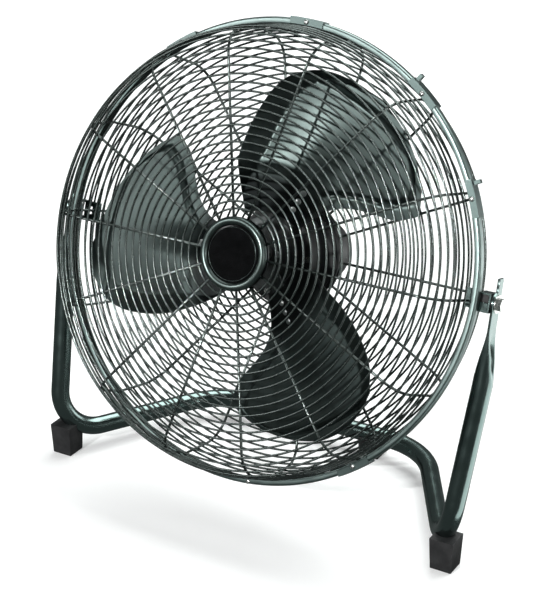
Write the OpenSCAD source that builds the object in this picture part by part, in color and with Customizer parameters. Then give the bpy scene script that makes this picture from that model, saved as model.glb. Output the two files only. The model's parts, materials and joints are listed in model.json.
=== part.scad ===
// High-velocity floor fan: a wire cage with three blades, tilting on a bent-tube stand.
// Origin on the floor under the middle of the object. +X runs along the tilt axis,
// -Y is the way the fan faces and +Z is up. Heads, motors and grilles are drawn in the
// head's own frame: local X along the tilt axis, local Y up, local Z forward along the fan axis.

/* [Cage] */
// Outer radius of the band that clamps the two grilles together
rim_r = 260; // [258:0.5:261]
// Height of the grille faces from the middle plane of the band
face_h = 67; // [62:1:70]
// Radius of the shoulder bend of a grille, along its ring wires
shoulder_r = 32; // [28:1:36]
// Lean of the grille walls from the fan axis, in degrees
wall_slant = 10; // [8:1:12]
// Number of spoke wires in each grille
spokes = 14; // [10:2:16]
// Diameter of a ring wire
ring_wire = 2.4; // [1.8:0.1:2.6]
// Diameter of a spoke wire
spoke_wire = 3; // [2.6:0.1:3.4]
// Spacing of the ring wires along the grille
ring_pitch = 9.1; // [9:0.05:9.2]
// Radius of the innermost pitched ring of the front grille
first_ring_r = 57; // [55:0.5:58]

/* [Tilt] */
// Angle by which the fan axis points up at rest
tilt = 19; // [0:1:90]
// Height of the tilt axis above the floor
pivot_h = 297.5; // [295:0.5:310]
// Distance of the tilt axis behind the middle plane of the band
pivot_back = 17; // [16:0.5:18]

/* [Stand] */
// Outer diameter of the stand tube
tube_d = 22; // [20:0.5:24]
// Wall thickness of the stand tube
tube_wall = 1.5; // [1:0.1:2]
// Forward lean of the legs, in degrees
leg_lean = 14.6; // [12:0.2:16]
// Half the distance between the front corners of the base, at the tube's centreline
base_half_w = 259; // [254:1:264]
// Half the length of the rear crossbar, between its corners
rear_half_w = 143; // [135:1:150]
// Height of the base tube's centreline above the floor
base_h = 25; // [24:0.5:27]
// Distance of the rear crossbar behind the tilt axis
rear_reach = 124; // [118:1:130]
// Bend radius at the front corners
front_bend_r = 48; // [44:1:52]
// Bend radius at the rear corners
rear_bend_r = 90; // [80:1:95]

/* [Blades] */
// Radius of the blade tips
blade_tip_r = 218.5; // [205:0.5:219]
// Radius at which the blade sheet starts
blade_root_r = 46; // [44:1:50]
// Pitch of a blade at its root, in degrees
root_pitch = 27; // [20:1:28]
// Pitch of a blade beyond its root, in degrees
outer_pitch = 11; // [9:1:13]
// Sheet thickness of the blades
blade_t = 1.2; // [1:0.1:1.6]

/* [Motor] */
// Outer radius of the motor shells
motor_r = 48; // [47:0.5:48]
// Radius of the motor shaft
shaft_r = 4; // [3.5:0.1:4.2]
// Radius of the switch housing
housing_r = 38; // [37:0.5:39]

/* [Hidden] */
$fn = 64;

// --- Shared placing ---
// Y of the tilt axis, which centres the whole object over the origin
pivot_y = 7;
pivot_at = [0, pivot_y, pivot_h];
fit = 0.05;
weld = 0.3;
lap = 0.4;
// Share of its diameter by which a bend's wall stands proud of its straights
swell = 0.012;

// --- Cage ---
band_t = 1.4;
band_half = 5.9;
band_in_r = rim_r - 7;
edge_wire = 4;
edge_r = rim_r - 5.7;
edge_h = 2.3;
// Offset between the line of the ring wires and the line of the spokes behind them
lay = (ring_wire + spoke_wire) / 2 - weld;
foot_r = edge_r - (edge_wire + spoke_wire) / 2 + weld;
shoulder_h = face_h - shoulder_r;
shoulder_at = foot_r
    - (shoulder_r - lay + (shoulder_h - edge_h) * sin(wall_slant)) / cos(wall_slant);
shoulder_len = shoulder_r * (90 - wall_slant) * PI / 180;
wall_len = (foot_r - shoulder_at) * sin(wall_slant) + (shoulder_h - edge_h) * cos(wall_slant);
face_rings = 20;
all_rings = 26;
rear_first = 2;
front_inner_r = 49;
rear_inner_r = 66;
front_spoke_in = 34;
rear_spoke_in = 52;

// --- Rim clips ---
clip_angles = [24, 52, 88, 124, 307];
tab_angles = [24, 52];
clip_span = 9;
clip_screw_r = rim_r - 3;
band_screw_angle = 277;

// --- Pivot ---
bolt_r = 4;
web_out = 270.5;
web_t = 2;
bracket_half = 10.5;
tongue_in = 236;
lip_in = 256;
spacer_at = 270.8;
plate_in = 271.8;
plate_t = 3;
plate_mid = plate_in + plate_t / 2;
leg_up = [0, sin(leg_lean), cos(leg_lean)];
neck_len = 26;
flare_len = 30;
tube_top_x = 272.5;

// --- Motor, along the fan axis ---
motor_front = -24;
core_front = -61.4;
core_rear = -83.4;
motor_rear = -112;
shell_t = 2;
boss_len = 14;
bearing_r = 8;
bolt_circle = 44.2;
stator_bore = 27.2;
rotor_r = 26.7;
plate_front = -61.6;
plate_thick = 1.8;
flange_r = 60;
screw_circle = 54;
housing_end = -142;
post_circle = 30;
switch_half = 11;
switch_front = -126;
knob_r = 14;

// --- Blades ---
blade_angles = [63.5, 183.5, 303.5];
blade_rows = 22;
blade_cols = 14;
root_end = 86;
arm_half = 12;
arm_ease = 12;
blade_bow = 0.0012;
fold_w = 24;
fold_slope = 0.65;
trail_from = 66.4;
trail_fall = 0.2075;
trail_round = 168;
lead_root = 20;
lead_sweep = 20;
lead_from = 75;
lead_to = 165;
lead_round = 180;
tip_end = blade_tip_r + 0.5;
rivet_radii = [60, 71, 82];
hub_rivet_r = 17;
disc_front = -1.2;
disc_back = -3.2;

// ======== Helpers ========

function unit(v) = v / norm(v);

// Places children in the head's frame, at the tilt of the rest pose
module in_head() {
    translate(pivot_at) rotate([90 - tilt, 0, 0]) translate([0, 0, pivot_back]) children();
}

// Draws children on both sides of the middle plane
module both_sides() {
    children();
    mirror([1, 0, 0]) children();
}

// Frame with its origin at o, its X axis along x and its Y axis along y, both unit vectors
module frame_at(o, x, y) {
    z = cross(x, y);
    multmatrix([
        [x[0], y[0], z[0], o[0]],
        [x[1], y[1], z[1], o[1]],
        [x[2], y[2], z[2], o[2]],
        [0, 0, 0, 1]
    ]) children();
}

// Straight round bar of diameter d from a to b, hollow where a bore is given
module bar(a, b, d, bore = 0) {
    v = b - a;
    translate(a) rotate([0, acos(v[2] / norm(v)), atan2(v[1], v[0])]) difference() {
        cylinder(h = norm(v), d = d);
        if (bore > 0) translate([0, 0, -1]) cylinder(h = norm(v) + 2, d = bore);
    }
}

// Corner i of a bent path: [start, end, centre, in direction, out direction, turn]
function corner(path, radii, i) =
    let (
        before = unit(path[i] - path[i - 1]),
        after = unit(path[i + 1] - path[i]),
        turn = acos(before * after),
        reach = radii[i - 1] * tan(turn / 2),
        start = path[i] - before * reach,
        inward = unit(after - before * (before * after))
    )
    [start, path[i] + after * reach, start + inward * radii[i - 1], before, inward, turn];

// Round bar or tube of diameter d along a path of straight runs joined by bends of the given radii.
// Each straight run laps a little way into its bends, whose wall is slightly thicker.
module bent_bar(path, radii, d, bore = 0) {
    last = len(path) - 1;
    bends = [for (i = [1 : last - 1]) corner(path, radii, i)];
    for (i = [0 : last - 1]) {
        a = i == 0 ? path[0] : bends[i - 1][1];
        b = i == last - 1 ? path[last] : bends[i][0];
        along = unit(b - a);
        bar(a - (i == 0 ? 0 : lap) * along, b + (i == last - 1 ? 0 : lap) * along, d, bore);
    }
    for (i = [0 : last - 2]) {
        b = bends[i];
        frame_at(b[2], -b[4], b[3])
            rotate_extrude(angle = b[5]) translate([radii[i], 0]) difference() {
                circle(d = d * (1 + 2 * swell));
                if (bore > 0) circle(d = bore - d * 2 * swell);
            }
    }
}

// Ring of round wire about the local Z axis
module wire_ring(r, h, d) {
    translate([0, 0, h]) rotate_extrude($fn = 128) translate([r, 0]) circle(d = d, $fn = 24);
}

module disc(r, h0, h1) {
    translate([0, 0, h0]) cylinder(h = h1 - h0, r = r);
}

module tube_ring(r_out, r_in, h0, h1) {
    difference() {
        disc(r_out, h0, h1);
        disc(r_in, h0 - 1, h1 + 1);
    }
}

// Hexagonal head or nut, across corners 2r, along the local Z axis
module hexagon(r, h) {
    cylinder(h = h, r = r, $fn = 6);
}

// Children at n places on a circle of radius r, the first at angle a
module around(n, r, a = 0) {
    for (i = [0 : n - 1]) rotate([0, 0, a + i * 360 / n]) translate([r, 0, 0]) children();
}

// ======== Stand ========

front_corner = pivot_at + [base_half_w, 0, 0] - leg_up * ((pivot_h - base_h) / leg_up[2]);
rear_corner = [rear_half_w, pivot_y + rear_reach, base_h];
tube_top = [tube_top_x, 0, 0] + pivot_at - leg_up * (neck_len + flare_len);

function flip(p) = [-p[0], p[1], p[2]];

module stand_path(bore = 0) {
    bent_bar(
        [tube_top, front_corner, rear_corner, flip(rear_corner), flip(front_corner), flip(tube_top)],
        [front_bend_r, rear_bend_r, rear_bend_r, front_bend_r],
        tube_d,
        bore
    );
}

// Flat end of a leg, in the plane across the tilt axis: local X rearward, local Y up the leg
module leg_plate() {
    frame_at([plate_in, pivot_y, pivot_h], [0, leg_up[2], -leg_up[1]], leg_up)
        difference() {
            linear_extrude(plate_t) {
                intersection() {
                    circle(r = 12);
                    translate([-12, -12]) square([21, 24]);
                }
                translate([-10, -neck_len]) square([19, neck_len]);
                translate([-2, 0]) square([11, 27]);
            }
            translate([0, 0, -1]) cylinder(h = plate_t + 2, r = bolt_r + fit);
        }
}

// Crimp from the round tube to the flat end: the tube's outline pinched between two slanted planes
module leg_flare() {
    up = unit(tube_top - front_corner);
    tip = 0.6 - neck_len;
    low = -neck_len - flare_len;
    intersection() {
        bar(tube_top - up * 2, tube_top + up * (flare_len + 2), tube_d - 0.6);
        frame_at([plate_in, pivot_y, pivot_h], [0, leg_up[2], -leg_up[1]], leg_up)
            rotate([0, -90, 0]) linear_extrude(2 * tube_d, center = true) polygon([
                [-tube_d, low - 5], [tube_d, low - 5], [tube_d / 2 + 1, low], [plate_t - 0.05, -neck_len],
                [plate_t - 0.05, tip], [0.05, tip], [0.05, -neck_len], [-tube_d / 2, low]
            ]);
    }
}

module stand_tube() {
    color("darkslategray") {
        stand_path(tube_d - 2 * tube_wall);
        both_sides() {
            leg_plate();
            leg_flare();
        }
    }
}

// Rubber block with tapered sides, cut to the underside of the tube
module foot(x, y, h) {
    half_top = 14;
    half_base = 12.5;
    difference() {
        translate([x, y, 0]) intersection() {
            rotate([90, 0, 0]) translate([0, 0, -half_top])
                linear_extrude(2 * half_top)
                polygon([[-half_base, 0], [half_base, 0], [half_top, h], [-half_top, h]]);
            rotate([90, 0, 90]) translate([0, 0, -half_top])
                linear_extrude(2 * half_top)
                polygon([[-half_base, 0], [half_base, 0], [half_top, h], [-half_top, h]]);
        }
        stand_path();
    }
}

front_foot_x = 255;
front_foot_y = pivot_y - 58;
rear_foot_x = 72;

module front_foot_right() {
    color("black") foot(front_foot_x, front_foot_y, 38);
}

module front_foot_left() {
    mirror([1, 0, 0]) front_foot_right();
}

module rear_foot_right() {
    color("black") foot(rear_foot_x, pivot_y + rear_reach, 24);
}

module rear_foot_left() {
    mirror([1, 0, 0]) rear_foot_right();
}

// Children on the tilt axis of the right side, local Z pointing outward from x
module on_pivot(x) {
    translate([x, pivot_y, pivot_h]) rotate([0, 90, 0]) children();
}

plate_out = plate_in + plate_t;
washer_t = 1.2;
nut_in = 262.4;
nut_out = 268.2;

module pivot_bolts() {
    color("silver") both_sides() {
        on_pivot(nut_in - 1) cylinder(h = plate_out + washer_t - nut_in + 1, r = bolt_r);
        on_pivot(plate_out + washer_t) rotate([0, 0, 15]) hexagon(7.2, 5);
    }
}

module pivot_washers() {
    color("silver") both_sides() on_pivot(plate_out) tube_ring(10, bolt_r + fit, 0, washer_t);
}

module pivot_spacers() {
    color("dimgray") both_sides()
        on_pivot(spacer_at) tube_ring(9.5, bolt_r + fit, 0, plate_in - spacer_at);
}

module pivot_nuts() {
    color("silver") both_sides() on_pivot(nut_in) difference() {
        hexagon(7.2, nut_out - nut_in);
        disc(bolt_r + fit, -1, nut_out - nut_in + 1);
    }
}

// ======== Cage ========

// Point of the ring line at arc length t from the first ring, as [radius, height]
function on_grille(t) =
    let (flat = shoulder_at - first_ring_r)
    t <= flat ? [first_ring_r + t, face_h]
    : t <= flat + shoulder_len
        ? let (a = 90 - (t - flat) / shoulder_r * 180 / PI)
            [shoulder_at + shoulder_r * cos(a), shoulder_h + shoulder_r * sin(a)]
        : let (w = t - flat - shoulder_len)
            [shoulder_at + shoulder_r * cos(wall_slant) + w * sin(wall_slant),
             shoulder_h + shoulder_r * sin(wall_slant) - w * cos(wall_slant)];

// Ring wires k0 to k1 of a grille on the +Z side
module grille_rings(k0, k1) {
    for (k = [k0 : k1]) {
        p = on_grille(k * ring_pitch);
        wire_ring(p[0], p[1], ring_wire);
    }
}

// One spoke of a grille: a wire from r_in out along the face, over the shoulder to the edge ring
module grille_spoke(r_in) {
    top = face_h - lay;
    bent_bar(
        [[r_in, 0, top], [foot_r - (top - edge_h) * tan(wall_slant), 0, top], [foot_r, 0, edge_h]],
        [shoulder_r - lay],
        spoke_wire
    );
}

module grille_spokes(r_in) {
    around(spokes, 0) grille_spoke(r_in);
}

module rim_band() {
    color("darkslategray") in_head() difference() {
        rotate_extrude($fn = 128) polygon([
            [band_in_r, -band_half], [rim_r, -band_half], [rim_r, band_half],
            [band_in_r, band_half], [band_in_r, band_half - band_t],
            [rim_r - band_t, band_half - band_t], [rim_r - band_t, band_t - band_half],
            [band_in_r, band_t - band_half]
        ]);
        for (a = concat(clip_angles, [band_screw_angle]))
            rotate([0, 0, a]) translate([clip_screw_r, 0, 0]) cylinder(h = 10, r = 1.45);
    }
}

clip_t = 1.4;
clip_gap = 0.2;
clip_out = rim_r + clip_gap + clip_t;
clip_half = band_half + clip_gap + clip_t;

// Saddle that laps over the band, with its screw hole in the front tongue
module rim_clip() {
    difference() {
        rotate([0, 0, -clip_span / 2]) rotate_extrude(angle = clip_span, $fn = 128) polygon([
            [band_in_r + 1, -clip_half], [clip_out, -clip_half], [clip_out, clip_half],
            [band_in_r + 1, clip_half], [band_in_r + 1, clip_half - clip_t],
            [rim_r + clip_gap, clip_half - clip_t], [rim_r + clip_gap, clip_t - clip_half],
            [band_in_r + 1, clip_t - clip_half]
        ]);
        translate([clip_screw_r, 0, 0]) cylinder(h = 10, r = 1.45);
    }
}

module rim_clips() {
    color("darkslategray") in_head() {
        for (a = clip_angles) rotate([0, 0, a]) {
            rim_clip();
            if (len(search(a, tab_angles)) > 0)
                rotate([0, 0, clip_span / 2 - 1]) translate([clip_out - 0.4, -2, -3])
                    cube([8, 4, 6]);
        }
    }
}

// Pan-head screw along local Z, its head on top of height seat
module pan_screw(shank_r, head_r, bottom, seat, head_h) {
    disc(shank_r, bottom, seat);
    disc(head_r, seat, seat + head_h);
}

module clip_screws() {
    color("silver") in_head() {
        for (a = clip_angles) rotate([0, 0, a]) translate([clip_screw_r, 0, 0])
            pan_screw(1.4, 2.8, band_half - band_t, clip_half, 1.8);
        rotate([0, 0, band_screw_angle]) translate([clip_screw_r, 0, 0])
            pan_screw(1.4, 2.8, band_half - band_t, band_half, 1.8);
    }
}

module front_edge_ring() {
    color("darkslategray") in_head() wire_ring(edge_r, edge_h, edge_wire);
}

module rear_edge_ring() {
    color("darkslategray") in_head() wire_ring(edge_r, -edge_h, edge_wire);
}

module front_face_rings() {
    color("slategray") in_head() {
        wire_ring(front_inner_r, face_h - 2 * lay, ring_wire);
        grille_rings(0, face_rings - 1);
    }
}

module front_wall_rings() {
    color("slategray") in_head() grille_rings(face_rings, all_rings - 1);
}

module front_spokes() {
    color("slategray") in_head() grille_spokes(front_spoke_in);
}

module rear_face_rings() {
    color("slategray") in_head() mirror([0, 0, 1]) {
        wire_ring(rear_inner_r, face_h - 2 * lay, ring_wire);
        grille_rings(rear_first, face_rings - 1);
    }
}

module rear_wall_rings() {
    color("slategray") in_head() mirror([0, 0, 1]) grille_rings(face_rings, all_rings - 1);
}

module rear_spokes() {
    color("slategray") in_head() mirror([0, 0, 1]) grille_spokes(rear_spoke_in);
}

// Wire loop that stands out behind the rear grille, lower right as seen from the front
loop_angle = -40;
loop_r = 156;
loop_half = 6;
loop_end = -150;

module rear_loop() {
    root = -(face_h + ring_wire / 2 + spoke_wire / 2 - weld);
    color("slategray") in_head() rotate([0, 0, loop_angle]) bent_bar(
        [
            [loop_r - 22, -loop_half, root], [loop_r, -loop_half, root],
            [loop_r, -loop_half, loop_end], [loop_r, loop_half, loop_end],
            [loop_r, loop_half, root], [loop_r - 22, loop_half, root]
        ],
        [6, 4, 4, 6],
        spoke_wire
    );
}

// ======== Pivot brackets ========

// Folded bracket behind the band on the right: lips and web round the bolt, and a slotted tongue
module pivot_bracket_right() {
    back = -pivot_back - bracket_half;
    tongue_h = -21.8;
    color("darkslategray") in_head() difference() {
        union() {
            translate([web_out - web_t, -bracket_half, back])
                cube([web_t, 2 * bracket_half, 2 * bracket_half]);
            for (y = [-bracket_half, bracket_half - web_t])
                translate([lip_in, y, back]) cube([web_out - lip_in, web_t, -band_half - back]);
            translate([tongue_in, -bracket_half, tongue_h])
                cube([lip_in + 2 - tongue_in, 2 * bracket_half, 2]);
        }
        translate([web_out - web_t - 1, 0, -pivot_back]) rotate([0, 90, 0])
            cylinder(h = web_t + 2, r = bolt_r + fit);
        translate([245, -4.5, tongue_h - 1]) cube([8.5, 9, 4]);
    }
}

module pivot_bracket_left() {
    mirror([1, 0, 0]) pivot_bracket_right();
}

// ======== Badge ========

badge_r = 40.6;
badge_in_r = 31.4;
bezel_mid_h = 2.6;
badge_base = face_h - 1;

module badge_bezel() {
    mid = (badge_r + badge_in_r) / 2;
    half = (badge_r - badge_in_r) / 2;
    color("lightslategray") in_head() rotate_extrude($fn = 128) {
        translate([badge_in_r, badge_base + 1.5]) square([2 * half, bezel_mid_h - 1.5]);
        intersection() {
            translate([mid, badge_base + bezel_mid_h]) circle(r = half);
            translate([badge_in_r, badge_base + bezel_mid_h]) square(2 * half);
        }
    }
}

module badge_disc() {
    color("black") in_head() disc(badge_in_r - 0.1, badge_base + 1.5, badge_base + 5);
}

module badge_plate() {
    color("dimgray") in_head() tube_ring(37, 2.05, badge_base, badge_base + 1.5);
}

module badge_clamp() {
    color("dimgray") in_head() tube_ring(40, 2.05, badge_base - 4.8, badge_base - 3);
}

module badge_screw() {
    color("silver") in_head() {
        disc(2, badge_base - 4.8, badge_base + 1.4);
        disc(4.5, badge_base - 7, badge_base - 4.8);
    }
}

// ======== Motor ========

module motor_plate() {
    color("darkslategray") in_head() difference() {
        tube_ring(64, motor_r + 0.5, plate_front - plate_thick, plate_front);
        around(4, screw_circle, 45) disc(2, plate_front - 5, plate_front + 5);
    }
}

module plate_screws() {
    color("silver") in_head() around(4, screw_circle, 45)
        pan_screw(1.95, 3.6, plate_front - 3.4, plate_front + 2, 2.4);
}

module front_bell() {
    color("dimgray") in_head() difference() {
        rotate_extrude($fn = 128) polygon([
            [shaft_r + 0.6, motor_front], [motor_r, motor_front], [motor_r, plate_front + 2],
            [flange_r, plate_front + 2], [flange_r, plate_front], [motor_r, plate_front],
            [motor_r, core_front], [motor_r - shell_t, core_front],
            [motor_r - shell_t, motor_front - shell_t], [bearing_r + 3, motor_front - shell_t],
            [bearing_r + 3, motor_front - boss_len], [bearing_r, motor_front - boss_len],
            [bearing_r, motor_front - shell_t], [shaft_r + 0.6, motor_front - shell_t]
        ]);
        around(4, screw_circle, 45) disc(2, plate_front - 5, plate_front + 5);
        around(4, bolt_circle, 0) disc(1.65, motor_front - 5, motor_front + 5);
    }
}

module rear_bell() {
    color("dimgray") in_head() difference() {
        rotate_extrude($fn = 128) polygon([
            [0, motor_rear], [motor_r, motor_rear], [motor_r, core_rear],
            [motor_r - shell_t, core_rear], [motor_r - shell_t, motor_rear + shell_t],
            [bearing_r + 3, motor_rear + shell_t], [bearing_r + 3, motor_rear + boss_len],
            [bearing_r, motor_rear + boss_len], [bearing_r, motor_rear + shell_t],
            [0, motor_rear + shell_t]
        ]);
        around(4, bolt_circle, 0) disc(1.65, motor_rear - 5, motor_rear + 5);
    }
}

module stator_core() {
    color("silver") in_head() difference() {
        tube_ring(motor_r, stator_bore, core_rear, core_front);
        around(4, bolt_circle, 0) disc(1.65, core_rear - 1, core_front + 1);
    }
}

module stator_windings() {
    coil = 6.4;
    color("sienna") in_head() {
        wire_ring(34.8, core_front + coil + 0.2, 2 * coil);
        wire_ring(34.8, core_rear - coil - 0.2, 2 * coil);
    }
}

module motor_bolts() {
    color("silver") in_head() around(4, bolt_circle, 0) {
        pan_screw(1.6, 3.4, motor_rear - 2, motor_front, 2.2);
        translate([0, 0, motor_rear - 2.4]) difference() {
            hexagon(3.2, 2.4);
            disc(1.6, -1, 3);
        }
    }
}

module front_bearing() {
    color("goldenrod") in_head()
        tube_ring(bearing_r - 0.02, shaft_r + fit, motor_front - boss_len, motor_front - shell_t);
}

module rear_bearing() {
    color("goldenrod") in_head()
        tube_ring(bearing_r - 0.02, shaft_r + fit, motor_rear + shell_t + 1, motor_rear + boss_len);
}

module motor_shaft() {
    color("silver") in_head() disc(shaft_r, motor_rear + shell_t + 1.5, 13);
}

module rotor_core() {
    color("gray") in_head() tube_ring(rotor_r, shaft_r + 0.01, core_rear - 1, core_front + 1);
}

// ======== Switch housing ========

module switch_housing() {
    color("black") in_head() difference() {
        union() {
            difference() {
                disc(housing_r, housing_end, motor_rear);
                disc(housing_r - 2, housing_end + 2, motor_rear + 1);
            }
            around(3, post_circle, 90) disc(4, housing_end + 1, motor_rear);
        }
        disc(5.6, housing_end - 1, housing_end + 3);
        around(3, post_circle, 90) disc(1.5, housing_end - 1, motor_rear + 1);
        translate([0, 0, (housing_end + motor_rear) / 2]) rotate([90, 0, 0])
            cylinder(h = housing_r + 1, r = 5.05);
    }
}

module housing_screws() {
    color("silver") in_head() around(3, post_circle, 90) {
        disc(1.45, housing_end, motor_rear);
        disc(3, housing_end - 2, housing_end);
    }
}

module switch_body() {
    base = housing_end + 2;
    color("dimgray") in_head() difference() {
        union() {
            translate([-switch_half, -switch_half, base])
                cube([2 * switch_half, 2 * switch_half, switch_front - base]);
            disc(5.5, housing_end - 2.6, base + 1);
        }
        disc(3 + fit, housing_end - 5, switch_front - 3);
    }
}

module switch_nut() {
    color("silver") in_head() translate([0, 0, housing_end - 2.4]) difference() {
        hexagon(9, 2.2);
        disc(5.55, -1, 4);
    }
}

module capacitor() {
    color("whitesmoke") in_head() translate([-18, -29.5, housing_end + 4]) cube([36, 12, 22]);
}

// Grommet with an open bore where the supply cord would enter
module cord_bushing() {
    color("black") in_head() translate([0, 0, (housing_end + motor_rear) / 2]) rotate([90, 0, 0])
        difference() {
            union() {
                disc(5, housing_r - 4, housing_r + 2);
                disc(8, housing_r + 0.2, housing_r + 6);
            }
            disc(3.6, housing_r - 5, housing_r + 7);
        }
}

module switch_spindle() {
    color("silver") in_head() disc(3, housing_end - 10, switch_front - 3.5);
}

module speed_knob() {
    color("black") in_head() difference() {
        union() {
            disc(knob_r, housing_end - 9, housing_end - 3.2);
            translate([-knob_r + 1, -3, housing_end - 14]) cube([2 * knob_r - 2, 6, 8]);
        }
        disc(3.01, housing_end - 10.2, housing_end);
    }
}

// ======== Blades ========

function smooth(t) =
    let (c = min(max(t, 0), 1))
    c * c * (3 - 2 * c);

// Share of the edge angle left at radius r, where an edge closes in from radius r0 to the tip
function closing(r, r0, p) =
    r <= r0 ? 1 : pow(1 - pow((r - r0) / (tip_end - r0), p), 1 / p);

// Angles of the trailing and the leading edge at radius r, from the blade's middle line
function trail_deg(r) = (trail_from - trail_fall * r) * closing(r, trail_round, 3);
function lead_deg(r) =
    -(lead_root + lead_sweep * smooth((r - lead_from) / (lead_to - lead_from)))
    * closing(r, lead_round, 1.3);

function row_r(i) = blade_root_r + (blade_tip_r - blade_root_r) * sin(90 * i / blade_rows);

// Extra rise of the root, at the spider's pitch over its arm and levelling off beside it
function root_gain(x) =
    let (ease = min(max(x - arm_half, 0), arm_ease))
    (tan(root_pitch) - tan(outer_pitch)) * (min(x, arm_half) + ease - ease * ease / (2 * arm_ease));

// Height of the blade's sheet at radius r and angle a, its trailing edge folded forward
function blade_height(r, a) =
    let (
        across = r * sin(a),
        root = 1 - smooth((r - root_end) / 104),
        bow = blade_bow * smooth((r - root_end) / 40) * pow(max(across, 0), 2),
        to_trail = r * (trail_deg(r) - a) * PI / 180,
        wrap = 1.15 * (blade_tip_r - r) + 12 + 0.6 * max(0, to_trail - 30),
        fold = max(0, fold_w * smooth((r - 60) / 60) - min(to_trail, wrap)) * fold_slope
    )
    across * tan(outer_pitch) + root * sign(across) * root_gain(abs(across)) - bow + fold;

// Point of the blade's sheet in row i and column j, offset by s along the fan axis
function blade_point(i, j, s) =
    let (r = row_r(i), a = lead_deg(r) + (trail_deg(r) - lead_deg(r)) * j / blade_cols)
    [r * cos(a), r * sin(a), blade_height(r, a) + s];

// Pitched, folded sheet of one blade, its middle line along local X
module blade() {
    n = blade_cols + 1;
    sheet = (blade_rows + 1) * n;
    points = [
        for (s = [blade_t / 2, -blade_t / 2])
            for (i = [0 : blade_rows])
                for (j = [0 : blade_cols]) blade_point(i, j, s)
    ];
    function cell(i, j) = i * n + j;
    front = [
        for (i = [0 : blade_rows - 1]) for (j = [0 : blade_cols - 1])
            each [
                [cell(i, j), cell(i, j + 1), cell(i + 1, j + 1)],
                [cell(i, j), cell(i + 1, j + 1), cell(i + 1, j)]
            ]
    ];
    back = [for (f = front) [sheet + f[0], sheet + f[2], sheet + f[1]]];
    border = concat(
        [for (i = [0 : blade_rows]) cell(i, 0)],
        [for (j = [1 : blade_cols]) cell(blade_rows, j)],
        [for (i = [blade_rows - 1 : -1 : 0]) cell(i, blade_cols)],
        [for (j = [blade_cols - 1 : -1 : 1]) cell(0, j)]
    );
    rim = [
        for (k = [0 : len(border) - 1])
            let (a = border[k], b = border[(k + 1) % len(border)])
            each [[a, b, sheet + b], [a, sheet + b, sheet + a]]
    ];
    polyhedron(points, concat(front, back, rim));
}

module placed_blade(i) {
    color("darkslategray") in_head() rotate([0, 0, blade_angles[i]]) blade();
}

module blade_a() {
    placed_blade(0);
}

module blade_b() {
    placed_blade(1);
}

module blade_c() {
    placed_blade(2);
}

// Hub plate with three pitched arms behind the blades
module blade_spider() {
    color("dimgray") in_head() difference() {
        union() {
            disc(40, disc_back, disc_front);
            for (a = blade_angles) rotate([0, 0, a]) rotate([root_pitch, 0, 0])
                translate([30, -11, -2.7]) cube([60, 22, 2]);
        }
        disc(10 + fit, -20, 20);
        around(3, hub_rivet_r, blade_angles[0] + 60) disc(2.05, -8, 4);
    }
}

module blade_rivets() {
    color("silver") in_head() {
        for (a = blade_angles) rotate([0, 0, a]) rotate([root_pitch, 0, 0])
            for (r = rivet_radii) translate([r, 0, 0]) {
                disc(2, -3.6, 1.6);
                disc(3.6, 0.7, 2.2);
            }
        around(3, hub_rivet_r, blade_angles[0] + 60) {
            disc(2, disc_back - 3, disc_front);
            disc(3.6, disc_front, disc_front + 1.6);
        }
    }
}

module fan_hub() {
    color("silver") in_head() difference() {
        union() {
            disc(22, disc_back - 3, disc_back);
            disc(10, disc_back - 3, 12);
        }
        disc(shaft_r + 0.01, -20, 20);
        around(3, hub_rivet_r, blade_angles[0] + 60) disc(2.05, -8, 4);
        translate([0, 0, 6]) rotate([0, 90, 0]) cylinder(h = 15, r = 2.05);
    }
}

module hub_screw() {
    color("black") in_head() translate([shaft_r + 0.1, 0, 6]) rotate([0, 90, 0])
        cylinder(h = 7, r = 2);
}

stand_tube();
front_foot_left();
front_foot_right();
rear_foot_left();
rear_foot_right();
pivot_bolts();
pivot_washers();
pivot_spacers();
pivot_nuts();
pivot_bracket_left();
pivot_bracket_right();
rim_band();
rim_clips();
clip_screws();
front_edge_ring();
rear_edge_ring();
front_face_rings();
front_wall_rings();
front_spokes();
rear_face_rings();
rear_wall_rings();
rear_spokes();
rear_loop();
badge_bezel();
badge_disc();
badge_plate();
badge_clamp();
badge_screw();
motor_plate();
plate_screws();
front_bell();
rear_bell();
stator_core();
stator_windings();
motor_bolts();
front_bearing();
rear_bearing();
switch_housing();
housing_screws();
switch_body();
switch_nut();
capacitor();
cord_bushing();
motor_shaft();
rotor_core();
fan_hub();
hub_screw();
blade_spider();
blade_rivets();
blade_a();
blade_b();
blade_c();
switch_spindle();
speed_knob();
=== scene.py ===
"""Looks of the floor fan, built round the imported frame. Metres, +Z up, and the fan faces -Y."""

import json
import math

import bmesh
import bpy
from mathutils import Matrix, Vector


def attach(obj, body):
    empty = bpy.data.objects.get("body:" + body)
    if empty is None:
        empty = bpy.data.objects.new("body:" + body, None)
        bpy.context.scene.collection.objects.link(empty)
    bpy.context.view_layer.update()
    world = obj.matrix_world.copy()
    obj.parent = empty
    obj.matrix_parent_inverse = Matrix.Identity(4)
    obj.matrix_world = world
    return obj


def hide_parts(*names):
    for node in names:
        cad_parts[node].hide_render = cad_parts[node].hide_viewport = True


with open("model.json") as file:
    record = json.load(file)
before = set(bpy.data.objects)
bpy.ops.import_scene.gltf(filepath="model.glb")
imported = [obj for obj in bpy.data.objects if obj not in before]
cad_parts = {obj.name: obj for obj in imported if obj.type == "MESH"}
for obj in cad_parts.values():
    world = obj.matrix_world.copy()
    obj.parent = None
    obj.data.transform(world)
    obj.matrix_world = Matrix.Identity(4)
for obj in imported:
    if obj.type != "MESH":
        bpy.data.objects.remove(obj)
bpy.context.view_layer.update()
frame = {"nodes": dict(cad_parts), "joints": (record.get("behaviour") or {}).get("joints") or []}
NODES = frame["nodes"]
JOINTS = {j["name"]: j for j in frame["joints"]}
MM = 0.001
TAU = 2 * math.pi

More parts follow.
